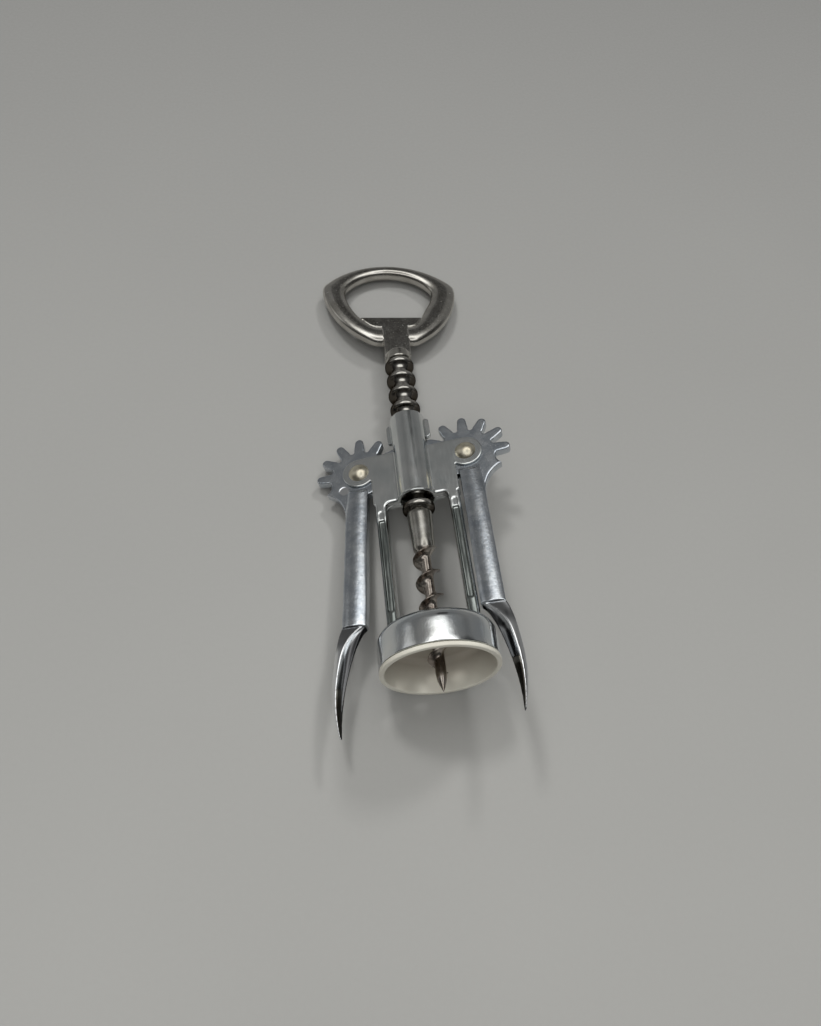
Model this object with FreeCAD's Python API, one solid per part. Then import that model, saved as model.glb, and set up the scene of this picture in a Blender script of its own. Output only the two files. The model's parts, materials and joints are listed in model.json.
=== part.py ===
import FreeCAD, Part
import math
import os
from FreeCAD import Placement, Rotation, Vector

# A wing corkscrew lying on its back. All sizes are in millimetres.
# Every piece is built in working axes: X across, Y along the worm from the bell's mouth to the
# handle, Z out of the front. The last section lays the pieces down as they rest on a table.

# Bell and liner
bell_radius = 16.9
bell_height = 12.4
bell_wall = 0.7
bell_shoulder = 4.0
bell_hole_radius = 6.5
liner_flange = 1.2
liner_edge_width = 1.4
liner_bore_narrowing = 1.1
liner_floor = 1.0
liner_floor_round = 2.3
liner_gap = 0.1
liner_top_gap = 1.0
liner_hole_step = 0.5

# Body shells
sheet = 0.65
barrel_bore_radius = 5.2
body_bottom_y = 57.0
barrel_top_y = 90.0
ear_outer_x = 13.7
ear_lobe_radius = 5.4
opening_corner = 1.6
press_bend = 0.9
seam_flange_width = 1.4
seam_flange_corner = 1.2
seam_flange_tooth_gap = 2.0
seam_flange_top_gap = 1.0
leg_edge_step = 0.3
leg_width = 3.6
leg_groove_width = 1.9
leg_groove_depth = 0.8
leg_groove_end_gap = 8.0
leg_tab_width = 1.9
leg_tab_through = 1.4
shell_seam = 0.02

# Levers
pivot_y = 71.0
lever_thickness = 3.0
side_clearance = 0.15
teeth_in_circle = 12
teeth_on_lever = 7
tooth_tip_radius = 14.2
tooth_root_radius = 8.9
tooth_tip_width = 2.7
tooth_base_width = 3.5
valley_rise = 0.8
shoulder_radius = 12.5
shoulder_angle = -30.0
shoulder_valley_angle = -18.0
arm_top = -17.0
arm_end = -54.0
arm_inner_top = -2.65
arm_inner_end = -0.9
arm_outer_top = 3.95
arm_outer_end = 4.9
arm_edge_height = 1.75
arm_crown_height = 2.7
arm_step_radius = 7.2
claw_bulge_x = 8.6
claw_bulge_y = -73.5
claw_hollow_x = 4.0
claw_hollow_y = -69.0
claw_tip_x = 6.2
claw_tip_y = -85.4
claw_tip_width = 0.7
claw_tip_edge = 0.25
claw_tip_crease = 0.45
claw_crease_swell = 2.4
claw_inner_swell = 1.3
claw_step = 0.05
claw_crease_top_share = 0.04
claw_crease_tip_share = 0.75
claw_crease_fade = 0.4

# Rivets
rivet_radius = 2.0
rivet_clearance = 0.05
rivet_head_radius = 3.3
rivet_head_height = 1.7

# Rack
rack_pitch = 6.8
rack_rings = 10
rack_rings_below_pivot = 3
rack_clearance = 0.1
rack_root_gap = 0.4
ring_rim_width = 1.6
ring_root_width = 3.6
ring_depth = 2.2
ring_round = 0.35
rack_bore_clearance = 0.05

# Worm
spindle_radius = 1.6
shank_top_radius = 4.0
shank_end_radius = 3.3
shank_length = 13.0
worm_pitch = 8.0
worm_radius = 3.9
worm_core_radius = 1.55
worm_edge = 0.45
worm_root_edge = 1.7
worm_tip_y = -5.7
worm_point_length = 5.2
worm_point_radius = 0.12
worm_point_waist_share = 0.55
worm_point_waist_radius = 1.24
worm_root_overlap = 0.5
worm_lead_in = 0.75
shank_run_out = 2.0

# Handle
handle_half_width = 25.4
handle_tip_y = 157.0
handle_top_y = 169.0
handle_top_side_x = 13.6
handle_top_side_y = 166.2
handle_side_x = 21.4
handle_side_y = 140.8
handle_base_x = 7.5
handle_base_y = 126.8
eye_half_width = 17.1
eye_corner_y = 154.5
eye_top_y = 164.2
eye_side_x = 15.2
eye_side_y = 144.0
eye_bottom_y = 134.5
eye_edge_y = 139.0
bar_half_thickness = 2.4
bar_round = 2.1
handle_tip_round = 2.4
eye_corner_round = 3.5
base_round = 6.0
flat_half_thickness = 1.8
neck_half_width = 4.7
neck_stub_radius = 4.6
neck_stub_length = 3.6
neck_blend_length = 1.6
neck_gap = 0.15
spindle_socket_depth = 5.2

# Rest on the table, with each lever swung as far as the play in its teeth lets it
table_gap = 0.03
right_lever_swing = -2.2
left_lever_swing = 3.5

# Worked out from the sizes above
tooth_step = 360.0 / teeth_in_circle
pitch_radius = rack_pitch * teeth_in_circle / (2 * math.pi)
barrel_radius = barrel_bore_radius + sheet
ring_radius = barrel_bore_radius - rack_clearance
plate_inner_z = lever_thickness / 2 + side_clearance
plate_outer_z = plate_inner_z + sheet
rack_root_radius = ring_radius - ring_depth
pivot_x = tooth_tip_radius + rack_root_radius + rack_root_gap
first_ring_y = pivot_y - rack_pitch * (rack_rings_below_pivot - 0.5)
last_ring_y = first_ring_y + rack_pitch * (rack_rings - 1)
rack_bottom = first_ring_y - ring_root_width / 2
rack_top = last_ring_y + ring_root_width / 2
leg_outer_x = ear_outer_x - leg_edge_step
leg_inner_x = leg_outer_x - leg_width
liner_bore_radius = bell_radius - liner_edge_width
liner_floor_radius = liner_bore_radius - liner_bore_narrowing
liner_depth = bell_height - bell_wall - liner_top_gap
liner_hole_radius = bell_hole_radius - liner_hole_step
rivet_top_z = plate_outer_z + rivet_head_height
tip_round_radius = tooth_tip_width / 2
tip_round_centre = tooth_tip_radius - tip_round_radius
FRONT = Vector(0, 0, 1)
ALONG = Vector(0, 1, 0)


def point(x, y, z=0.0):
    return Vector(x, y, z)


def segment(start, end):
    return Part.makeLine(start, end)


def arc(start, middle, end):
    return Part.Arc(start, middle, end).toShape()


def plate(edges, low_z, high_z):
    """A flat outline in X and Y, made into a plate between two heights."""
    face = Part.Face(Part.Wire(edges))
    face.translate(Vector(0, 0, low_z))
    return face.extrude(Vector(0, 0, high_z - low_z))


def polygon(points):
    closed = points + [points[0]]
    return [segment(a, b) for a, b in zip(closed, closed[1:])]


def box(low, high):
    return Part.makeBox(high[0] - low[0], high[1] - low[1], high[2] - low[2], Vector(*low))


def rod(radius, low_y, high_y):
    """A round bar along the worm's axis."""
    return Part.makeCylinder(radius, high_y - low_y, Vector(0, low_y, 0), ALONG)


def cross_rod(radius, x, y):
    """A round bar from the back to the front, longer than the rivets."""
    return Part.makeCylinder(radius, 2 * rivet_top_z, Vector(x, y, -rivet_top_z), FRONT)


def turned(edges):
    """A closed profile of radius (X) and length (Y), turned round the worm's axis."""
    return Part.Face(Part.Wire(edges)).revolve(Vector(0, 0, 0), ALONG, 360)


def mirrored_x(shape):
    return shape.mirror(Vector(0, 0, 0), Vector(1, 0, 0))


def mirrored_z(shape):
    return shape.mirror(Vector(0, 0, 0), FRONT)


def polar(radius, degrees):
    return point(radius * math.cos(math.radians(degrees)), radius * math.sin(math.radians(degrees)))


# Bell cup: a drawn steel cup, open at the mouth, with a hole for the worm and slots for the legs
def bell_profile(radius, top, shoulder, mouth):
    corner = shoulder * (1 - math.sqrt(0.5))
    shoulder_start = point(radius, top - shoulder)
    shoulder_mid = point(radius - corner, top - corner)
    shoulder_end = point(radius - shoulder, top)
    return [
        segment(point(0, mouth), point(radius, mouth)),
        segment(point(radius, mouth), shoulder_start),
        arc(shoulder_start, shoulder_mid, shoulder_end),
        segment(shoulder_end, point(0, top)),
        segment(point(0, top), point(0, mouth)),
    ]


def leg_slot(side):
    """The slot in the cup's top for the tabs of one pair of legs."""
    middle = side * (leg_inner_x + leg_outer_x) / 2
    half = leg_tab_width / 2
    depth = plate_outer_z - leg_groove_depth
    low = (middle - half, bell_height - leg_tab_through, -depth)
    return box(low, (middle + half, bell_height, depth))


def make_bell_cup():
    outside = turned(bell_profile(bell_radius, bell_height, bell_shoulder, liner_flange))
    inside = turned(bell_profile(bell_radius - bell_wall, bell_height - bell_wall,
                                 bell_shoulder - bell_wall, 0))
    cup = outside.cut(inside).cut(rod(bell_hole_radius, 0, bell_height + 1))
    for side in (-1, 1):
        cup = cup.cut(leg_slot(side))
    return cup


# Liner: a moulded insert whose flange covers the cup's edge, with a seat for the bottle's lip
def make_bell_liner():
    skirt = bell_radius - bell_wall - liner_gap
    floor_y = liner_depth - liner_floor
    corner = bell_shoulder - bell_wall
    top_edge = point(skirt - corner, liner_depth)
    side_edge = point(skirt, liner_depth - corner)
    bend = corner * (1 - math.sqrt(0.5))
    floor_bend = liner_floor_round * (1 - math.sqrt(0.5))
    floor_edge = point(liner_floor_radius - liner_floor_round, floor_y)
    bore_edge = point(liner_floor_radius, floor_y - liner_floor_round)
    outline = [
        segment(point(liner_bore_radius, 0), point(bell_radius, 0)),
        segment(point(bell_radius, 0), point(bell_radius, liner_flange)),
        segment(point(bell_radius, liner_flange), point(skirt, liner_flange)),
        segment(point(skirt, liner_flange), side_edge),
        arc(side_edge, point(skirt - bend, liner_depth - bend), top_edge),
        segment(top_edge, point(liner_hole_radius, liner_depth)),
        segment(point(liner_hole_radius, liner_depth), point(liner_hole_radius, floor_y)),
        segment(point(liner_hole_radius, floor_y), floor_edge),
        arc(floor_edge, point(liner_floor_radius - floor_bend, floor_y - floor_bend), bore_edge),
        segment(bore_edge, point(liner_bore_radius, 0)),
    ]
    return turned(outline)


# Body shells: two pressings, each half a barrel with two ears, a turned-in lower edge and two legs
def pressing_outline(grow):
    """The right-hand ear and leg in X and Y. Grown walls give the hollow behind them."""
    start_x = barrel_bore_radius
    top_y = pivot_y + ear_lobe_radius
    drop = math.sqrt(ear_lobe_radius ** 2 - (pivot_x - ear_outer_x) ** 2)
    lobe_low = point(ear_outer_x, pivot_y - drop)
    inner_x = leg_inner_x + grow
    outer_x = leg_outer_x - grow
    low_y = bell_height + grow
    edge_y = body_bottom_y + grow
    corner = opening_corner + grow
    bend = corner * (1 - math.sqrt(0.5))
    edge_end = point(inner_x - corner, edge_y)
    leg_start = point(inner_x, edge_y - corner)
    return [
        segment(point(start_x, edge_y), edge_end),
        arc(edge_end, point(inner_x - bend, edge_y - bend), leg_start),
        segment(leg_start, point(inner_x, low_y)),
        segment(point(inner_x, low_y), point(outer_x, low_y)),
        segment(point(outer_x, low_y), point(outer_x, body_bottom_y)),
        segment(point(outer_x, body_bottom_y), point(ear_outer_x, body_bottom_y)),
        segment(point(ear_outer_x, body_bottom_y), lobe_low),
        arc(lobe_low, point(pivot_x + ear_lobe_radius, pivot_y), point(pivot_x, top_y)),
        segment(point(pivot_x, top_y), point(start_x, top_y)),
        segment(point(start_x, top_y), point(start_x, edge_y)),
    ]


def make_ear_and_leg():
    """The right-hand ear and leg of the front shell, pressed as one with a groove down the leg."""
    block = plate(pressing_outline(0.0), shell_seam, plate_outer_z)
    bends = []
    for edge in block.Edges:
        place = edge.BoundBox
        on_face = place.ZMin > plate_outer_z - shell_seam
        below_ear = place.YMax < body_bottom_y + shell_seam
        on_ear_step = place.XMin > leg_outer_x - shell_seam and place.YLength < shell_seam
        across_leg = place.YMax < bell_height + shell_seam
        if on_face and below_ear and not on_ear_step and not across_leg:
            bends.append(edge)
    block = block.makeFillet(press_bend, bends)
    ear_hollow = plate(pressing_outline(sheet), -plate_outer_z, plate_inner_z)
    leg_floor_z = plate_outer_z - leg_groove_depth
    leg_front = box((leg_inner_x, 0, leg_floor_z - sheet),
                    (leg_outer_x, body_bottom_y - leg_width, plate_outer_z))
    past_lobe = (pivot_x + 2 * ear_lobe_radius, pivot_y + 2 * ear_lobe_radius, plate_inner_z)
    open_side = box((leg_outer_x - sheet, body_bottom_y, -plate_outer_z), past_lobe)
    open_top = box((barrel_bore_radius, pivot_y, -plate_outer_z), past_lobe)
    pressing = block.cut(ear_hollow.cut(leg_front)).cut(open_side).cut(open_top)
    middle = (leg_inner_x + leg_outer_x) / 2
    half = leg_groove_width / 2
    low_y = bell_height + leg_groove_end_gap
    high_y = body_bottom_y - leg_width
    groove = plate([
        segment(point(middle + half, low_y), point(middle + half, high_y)),
        arc(point(middle + half, high_y), point(middle, high_y + half), point(middle - half, high_y)),
        segment(point(middle - half, high_y), point(middle - half, low_y)),
        arc(point(middle - half, low_y), point(middle, low_y - half), point(middle + half, low_y)),
    ], leg_floor_z, 2 * plate_outer_z)
    tab = box((middle - leg_tab_width / 2, bell_height - leg_tab_through, shell_seam),
              (middle + leg_tab_width / 2, bell_height + sheet, leg_floor_z))
    return pressing.cut(groove).fuse(tab)


def make_seam_flange():
    """The narrow edge beside the barrel, above the ear, where the two shells meet."""
    tooth_reach = math.sqrt(tooth_tip_radius ** 2 - (pivot_x - barrel_radius) ** 2)
    low_y = pivot_y + tooth_reach + seam_flange_tooth_gap
    high_y = barrel_top_y - seam_flange_top_gap
    inner_x = barrel_bore_radius + sheet / 2
    outer_x = barrel_radius + seam_flange_width
    corner = seam_flange_corner
    bend = corner * (1 - math.sqrt(0.5))
    outline = [
        segment(point(inner_x, low_y), point(outer_x - corner, low_y)),
        arc(point(outer_x - corner, low_y), point(outer_x - bend, low_y + bend),
            point(outer_x, low_y + corner)),
        segment(point(outer_x, low_y + corner), point(outer_x, high_y - corner)),
        arc(point(outer_x, high_y - corner), point(outer_x - bend, high_y - bend),
            point(outer_x - corner, high_y)),
        segment(point(outer_x - corner, high_y), point(inner_x, high_y)),
        segment(point(inner_x, high_y), point(inner_x, low_y)),
    ]
    return plate(outline, shell_seam, sheet), low_y


def make_front_shell():
    front_half = box((-barrel_radius, body_bottom_y, shell_seam),
                     (barrel_radius, barrel_top_y, barrel_radius))
    barrel = rod(barrel_radius, body_bottom_y, barrel_top_y).common(front_half)
    flange, gear_slot_top = make_seam_flange()
    right = make_ear_and_leg().fuse(flange)
    shell = barrel.fuse([right, mirrored_x(right)])
    shell = shell.cut(rod(barrel_bore_radius, body_bottom_y - 1, barrel_top_y + 1))
    slot_low = 2 * pivot_y - gear_slot_top
    slot = box((-barrel_radius - 1, slot_low, -1), (barrel_radius + 1, gear_slot_top, plate_inner_z))
    shell = shell.cut(slot)
    for side in (-1, 1):
        shell = shell.cut(cross_rod(rivet_radius, side * pivot_x, pivot_y))
    return shell.removeSplitter()


# Levers: a toothed sector that runs between the ears, an arm with a crowned face and a curved claw
def lever_outline():
    base_radius = tooth_root_radius + valley_rise
    edges = []
    corners = []
    for index in range(teeth_on_lever):
        angle = index * tooth_step
        turn = Rotation(FRONT, angle)
        base_low = turn.multVec(point(base_radius, -tooth_base_width / 2))
        base_high = turn.multVec(point(base_radius, tooth_base_width / 2))
        tip_low = turn.multVec(point(tip_round_centre, -tip_round_radius))
        tip_high = turn.multVec(point(tip_round_centre, tip_round_radius))
        if corners:
            edges.append(arc(corners[-1], polar(tooth_root_radius, angle - tooth_step / 2), base_low))
        edges.append(segment(base_low, tip_low))
        edges.append(arc(tip_low, turn.multVec(point(tooth_tip_radius, 0)), tip_high))
        edges.append(segment(tip_high, base_high))
        corners.extend([base_low, base_high])
    inner_angle = 270 - math.degrees(math.asin(-arm_inner_top / tooth_root_radius))
    inner_start = polar(tooth_root_radius, inner_angle)
    last = corners[-1]
    last_angle = math.degrees(math.atan2(last.y, last.x)) % 360
    edges.append(arc(last, polar(tooth_root_radius, (last_angle + inner_angle) / 2), inner_start))
    inner_end = point(arm_inner_end, arm_end)
    outer_end = point(arm_outer_end, arm_end)
    outer_start = point(arm_outer_top, arm_top)
    shoulder = polar(shoulder_radius, shoulder_angle)
    edges.append(segment(inner_start, inner_end))
    edges.append(segment(inner_end, outer_end))
    edges.append(segment(outer_end, outer_start))
    across = shoulder.x - arm_outer_top
    up = shoulder.y - arm_top
    sweep_radius = (across ** 2 + up ** 2) / (2 * across)
    centre = point(arm_outer_top + sweep_radius, arm_top)
    end_angle = math.atan2(up, shoulder.x - centre.x)
    mid_angle = (math.pi + end_angle) / 2
    sweep_mid = centre + point(sweep_radius * math.cos(mid_angle), sweep_radius * math.sin(mid_angle))
    edges.append(arc(outer_start, sweep_mid, shoulder))
    edges.append(arc(shoulder, polar(base_radius, shoulder_valley_angle), corners[0]))
    return edges


def crown_section(y, inner_x, outer_x):
    """The arm's cross-section in X and Z, with a crowned front and back."""
    middle = (inner_x + outer_x) / 2
    inner_back = point(inner_x, y, -arm_edge_height)
    outer_back = point(outer_x, y, -arm_edge_height)
    inner_front = point(inner_x, y, arm_edge_height)
    outer_front = point(outer_x, y, arm_edge_height)
    return Part.Wire([
        arc(inner_back, point(middle, y, -arm_crown_height), outer_back),
        segment(outer_back, outer_front),
        arc(outer_front, point(middle, y, arm_crown_height), inner_front),
        segment(inner_front, inner_back),
    ])


def claw_section(inner, outer, crease_share, inner_height, crease_height, outer_height):
    crease = inner + (outer - inner) * crease_share
    ring = [
        inner - FRONT * inner_height,
        crease - FRONT * crease_height,
        outer - FRONT * outer_height,
        outer + FRONT * outer_height,
        crease + FRONT * crease_height,
        inner + FRONT * inner_height,
    ]
    return Part.makePolygon(ring + [ring[0]])


def make_claw():
    """The lever's end: a crescent that curves out past the bell, with a crease down each face."""
    tip_half = claw_tip_width / 2
    outer = Part.Arc(point(arm_outer_end, arm_end), point(claw_bulge_x, claw_bulge_y),
                     point(claw_tip_x + tip_half, claw_tip_y))
    inner = Part.Arc(point(arm_inner_end, arm_end), point(claw_hollow_x, claw_hollow_y),
                     point(claw_tip_x - tip_half, claw_tip_y))
    sections = []
    stations = [0.0, 0.12, 0.28, 0.5, 0.75, 1.0]
    for share in stations:
        fade = 1 - share
        crease_share = claw_crease_tip_share + (claw_crease_top_share - claw_crease_tip_share) * fade ** 4
        crease_height = claw_tip_crease + claw_crease_swell * math.sqrt(fade) * (1 - claw_crease_fade * fade ** 3)
        outer_height = claw_tip_edge + (arm_edge_height - claw_step - claw_tip_edge) * fade
        inner_height = claw_tip_edge + claw_inner_swell * fade ** 4
        sections.append(claw_section(at_share(inner, share), at_share(outer, share), crease_share,
                                     inner_height, crease_height, outer_height))
    return Part.makeLoft(sections, True, False)


def at_share(curve, share):
    first = curve.FirstParameter
    return curve.value(first + (curve.LastParameter - first) * share)


def make_right_lever(swing):
    """The right-hand lever, swung out from upright by an angle in degrees."""
    half = lever_thickness / 2
    flat = plate(lever_outline(), -half, half)
    crown_top = -arm_step_radius / math.sqrt(2)
    arm_inner_start = -math.sqrt(tooth_root_radius ** 2 - arm_inner_top ** 2)
    inner_slope = (arm_inner_end - arm_inner_top) / (arm_end - arm_inner_start)
    outer_slope = (arm_outer_end - arm_outer_top) / (arm_end - arm_top)
    top = crown_section(crown_top, arm_inner_top + inner_slope * (crown_top - arm_inner_start),
                        arm_outer_top + outer_slope * (crown_top - arm_top))
    bottom = crown_section(arm_end, arm_inner_end, arm_outer_end)
    crown = Part.makeLoft([top, bottom], True, True)
    crown = crown.cut(cross_rod(arm_step_radius, 0, 0))
    lever = flat.fuse([crown, make_claw()])
    lever = lever.cut(cross_rod(rivet_radius + rivet_clearance, 0, 0)).removeSplitter()
    lever.rotate(Vector(0, 0, 0), FRONT, swing)
    lever.translate(point(pivot_x, pivot_y))
    return lever


# Rivets: a shank through both ears and the lever, with a domed head each side
def make_rivet():
    sphere_radius = (rivet_head_radius ** 2 + rivet_head_height ** 2) / (2 * rivet_head_height)
    sphere = Part.makeSphere(sphere_radius, Vector(0, 0, rivet_top_z - sphere_radius))
    above = box((-sphere_radius, -sphere_radius, plate_outer_z),
                (sphere_radius, sphere_radius, 2 * rivet_top_z))
    dome = sphere.common(above)
    shank = Part.makeCylinder(rivet_radius, 2 * plate_outer_z, Vector(0, 0, -plate_outer_z), FRONT)
    rivet = shank.fuse([dome, mirrored_z(dome)]).removeSplitter()
    rivet.translate(point(pivot_x, pivot_y))
    return rivet


# Rack: rings round a sleeve, so that it stays in mesh with the levers as the handle turns
def make_rack_sleeve():
    bore = spindle_radius + rack_bore_clearance
    root_half = ring_root_width / 2
    rim_half = ring_rim_width / 2
    cut = ring_round
    lean = (root_half - rim_half) * cut / (ring_radius - rack_root_radius)
    bend = cut * (1 - math.sqrt(0.5))
    edges = [segment(point(bore, rack_top), point(bore, rack_bottom))]
    edges.append(segment(point(bore, rack_bottom), point(rack_root_radius, rack_bottom)))
    for index in range(rack_rings):
        y = first_ring_y + index * rack_pitch
        low_root = point(rack_root_radius, y - root_half)
        high_root = point(rack_root_radius, y + root_half)
        low_flank = point(ring_radius - cut, y - rim_half - lean)
        high_flank = point(ring_radius - cut, y + rim_half + lean)
        low_rim = point(ring_radius, y - rim_half + cut)
        high_rim = point(ring_radius, y + rim_half - cut)
        edges.append(segment(low_root, low_flank))
        edges.append(arc(low_flank, point(ring_radius - bend, y - rim_half + bend), low_rim))
        edges.append(segment(low_rim, high_rim))
        edges.append(arc(high_rim, point(ring_radius - bend, y + rim_half - bend), high_flank))
        edges.append(segment(high_flank, high_root))
        if index < rack_rings - 1:
            edges.append(segment(high_root, point(rack_root_radius, y + rack_pitch - root_half)))
    edges.append(segment(point(rack_root_radius, rack_top), point(bore, rack_top)))
    return turned(edges)


# Worm: a spindle through the rack, a tapered shank and a right-handed flight with a sharp point
def cone(low_radius, low_y, high_radius, high_y):
    """A tapered round bar along the worm's axis."""
    return Part.makeCone(low_radius, high_radius, high_y - low_y, Vector(0, low_y, 0), ALONG)


def make_flight(low_y, high_y):
    """The right-handed flight, which starts at the core and widens over its first turn."""
    inner = worm_core_radius - worm_root_overlap
    outer = worm_radius + worm_root_overlap
    blade = Part.makePolygon([
        Vector(inner, 0, -worm_root_edge / 2), Vector(worm_radius, 0, -worm_edge / 2),
        Vector(worm_radius, 0, worm_edge / 2), Vector(inner, 0, worm_root_edge / 2),
        Vector(inner, 0, -worm_root_edge / 2),
    ])
    helix = Part.makeHelix(worm_pitch, high_y - low_y, worm_core_radius)
    flight = Part.Wire(helix).makePipeShell([blade], True, True)
    flight.Placement = Placement(Vector(0, low_y, 0), Rotation(Vector(1, 0, 0), -90))
    start_y = low_y - worm_root_edge
    wide_y = start_y + worm_pitch * worm_lead_in
    widening = cone(worm_core_radius + worm_root_overlap, start_y, outer, wide_y)
    full = rod(outer, wide_y, high_y + worm_pitch)
    return flight.common(widening.fuse(full))


def make_worm():
    shank_top = rack_bottom - neck_gap
    shank_end = shank_top - shank_length
    spindle_top = rack_top + neck_gap + spindle_socket_depth
    point_top = worm_tip_y + worm_point_length
    waist_y = worm_tip_y + worm_point_length * worm_point_waist_share
    worm = make_flight(point_top, shank_end)
    for piece in (
        rod(worm_core_radius, point_top, shank_end),
        cone(worm_point_waist_radius, waist_y, worm_core_radius, point_top),
        cone(worm_point_radius, worm_tip_y, worm_point_waist_radius, waist_y),
        cone(worm_core_radius, shank_end - shank_run_out, shank_end_radius, shank_end),
        cone(shank_end_radius, shank_end, shank_top_radius, shank_top),
        rod(spindle_radius, shank_top, spindle_top),
    ):
        worm = worm.fuse(piece)
    return worm.removeSplitter()


# Handle: an eye-shaped loop of rounded bar with a flat neck and a straight edge that lifts caps
def eye_plate(half_width, corner_y, top_y, side, base, half_thickness, corner_round):
    """A pointed oval: one arc over the top and one down each side to the base, corners rounded."""
    left = point(-half_width, corner_y)
    right = point(half_width, corner_y)
    base_left = point(-base[0], base[1])
    base_right = point(base[0], base[1])
    oval = plate([
        arc(right, point(0, top_y), left),
        arc(left, point(-side[0], side[1]), base_left),
        segment(base_left, base_right),
        arc(base_right, point(side[0], side[1]), right),
    ], -half_thickness, half_thickness)
    upright = [edge for edge in oval.Edges if edge.BoundBox.ZLength > half_thickness]
    tips = [edge for edge in upright if abs(edge.BoundBox.Center.x) > 0.95 * half_width]
    oval = oval.makeFillet(corner_round, tips)
    upright = [edge for edge in oval.Edges if edge.BoundBox.ZLength > half_thickness]
    lows = [edge for edge in upright if abs(edge.BoundBox.Center.y - base[1]) < 0.1]
    return oval.makeFillet(base_round, lows)


def make_handle_loop():
    outer = eye_plate(handle_half_width, handle_tip_y, handle_top_y, (handle_side_x, handle_side_y),
                      (handle_base_x, handle_base_y), bar_half_thickness, handle_tip_round)
    eye_side = (eye_side_x, eye_side_y)
    eye_base = (handle_base_x, eye_bottom_y)
    inner = eye_plate(eye_half_width, eye_corner_y, eye_top_y, eye_side, eye_base,
                      2 * bar_half_thickness, eye_corner_round)
    ring = outer.cut(inner)
    rims = [edge for edge in ring.Edges if edge.BoundBox.ZLength < 0.01]
    ring = ring.makeFillet(bar_round, rims)
    for low_z in (flat_half_thickness, -flat_half_thickness - bar_half_thickness):
        ring = ring.cut(box((-neck_half_width, handle_base_y - base_round, low_z),
                            (neck_half_width, eye_edge_y, low_z + bar_half_thickness)))
    web = inner.common(box((-eye_half_width, handle_base_y, -flat_half_thickness),
                           (eye_half_width, eye_edge_y, flat_half_thickness)))
    neck_low = rack_top + neck_gap
    neck = box((-neck_half_width, neck_low + neck_stub_length / 2, -flat_half_thickness),
               (neck_half_width, (eye_bottom_y + eye_edge_y) / 2, flat_half_thickness))
    stub = rod(neck_stub_radius, neck_low, neck_low + neck_stub_length)
    blend_low = neck_low + neck_stub_length
    blend = cone(neck_stub_radius, blend_low, flat_half_thickness, blend_low + neck_blend_length)
    handle = ring.fuse([web, neck, stub, blend])
    socket = rod(spindle_radius, neck_low - 1, neck_low + spindle_socket_depth)
    return handle.cut(socket).removeSplitter()


# How the corkscrew lies: bell edge and handle on the table, body rolled until a lever touches it
contact_y = handle_top_y - bar_round
tilt = math.atan2(bell_radius - bar_half_thickness, contact_y)


def roll_to_touch():
    """The angle that brings the first round tooth tip down to the table."""
    rolls = []
    for index in range(teeth_on_lever // 2):
        tip = polar(tip_round_centre, index * tooth_step + left_lever_swing)
        reach_x = pivot_x + tip.x + tip_round_radius
        drop = bell_radius - table_gap - (pivot_y + tip.y) * math.tan(tilt)
        reach = math.hypot(reach_x, lever_thickness / 2)
        lean = math.atan2(lever_thickness / 2, reach_x)
        rolls.append(math.asin(drop / reach) - lean)
    return min(rolls)


roll = roll_to_touch()
lie_down = Rotation(Vector(1, 0, 0), -math.degrees(tilt))
roll_over = Rotation(ALONG, -math.degrees(roll))


def laid(shape, rolled):
    turn = lie_down.multiply(roll_over) if rolled else lie_down
    shape = shape.copy()
    shape.transformShape(Placement(Vector(0, 0, 0), turn).toMatrix(), True)
    return shape


front_shell = make_front_shell()
rivet = make_rivet()
rolled_pieces = {
    "bell_cup": make_bell_cup(),
    "bell_liner": make_bell_liner(),
    "front_shell": front_shell,
    "back_shell": mirrored_z(front_shell),
    "lever_right": make_right_lever(right_lever_swing),
    "lever_left": mirrored_x(make_right_lever(left_lever_swing)),
    "rivet_right": rivet,
    "rivet_left": mirrored_x(rivet),
}
flat_pieces = {
    "rack_sleeve": make_rack_sleeve(),
    "worm": make_worm(),
    "handle_loop": make_handle_loop(),
}
pieces = {name: laid(shape, True) for name, shape in rolled_pieces.items()}
pieces.update({name: laid(shape, False) for name, shape in flat_pieces.items()})
outline_box = FreeCAD.BoundBox()
for shape in pieces.values():
    outline_box.add(shape.optimalBoundingBox())
origin = Vector(outline_box.Center.x, outline_box.Center.y, outline_box.ZMin)

os.makedirs("parts", exist_ok=True)
for name, shape in pieces.items():
    shape.translate(origin * -1)
    shape.exportStep("parts/" + name + ".step")
    print(name, len(shape.Solids), shape.isValid(), round(shape.Volume, 1))
print("tilt", math.degrees(tilt), "roll", math.degrees(roll), "origin", origin)
print("pivot_x", pivot_x, "pitch radius", pitch_radius, "rack bottom", rack_bottom, "top", rack_top)
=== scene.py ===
import json
import math

import bmesh
import bpy
from mathutils import Matrix, Vector


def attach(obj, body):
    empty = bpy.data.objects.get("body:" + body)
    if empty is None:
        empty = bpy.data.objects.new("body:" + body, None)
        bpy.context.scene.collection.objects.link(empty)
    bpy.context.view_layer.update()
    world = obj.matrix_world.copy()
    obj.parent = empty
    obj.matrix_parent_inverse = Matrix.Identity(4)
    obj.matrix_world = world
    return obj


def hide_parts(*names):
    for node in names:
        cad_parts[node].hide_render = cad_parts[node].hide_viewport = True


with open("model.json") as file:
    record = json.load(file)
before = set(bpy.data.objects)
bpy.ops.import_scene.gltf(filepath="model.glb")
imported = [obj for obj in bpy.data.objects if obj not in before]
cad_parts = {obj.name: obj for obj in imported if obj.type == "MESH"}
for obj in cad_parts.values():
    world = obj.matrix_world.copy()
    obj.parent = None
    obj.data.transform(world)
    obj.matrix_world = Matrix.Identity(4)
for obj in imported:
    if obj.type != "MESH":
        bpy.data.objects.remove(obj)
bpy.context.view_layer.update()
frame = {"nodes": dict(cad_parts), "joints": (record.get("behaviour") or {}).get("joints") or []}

# Sizes are in millimetres in the maker's axes: X across, Y along the worm from the bell's mouth to
# the handle, Z out of the front. They become metres where the corkscrew lies on the table.
MM = 0.001

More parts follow.
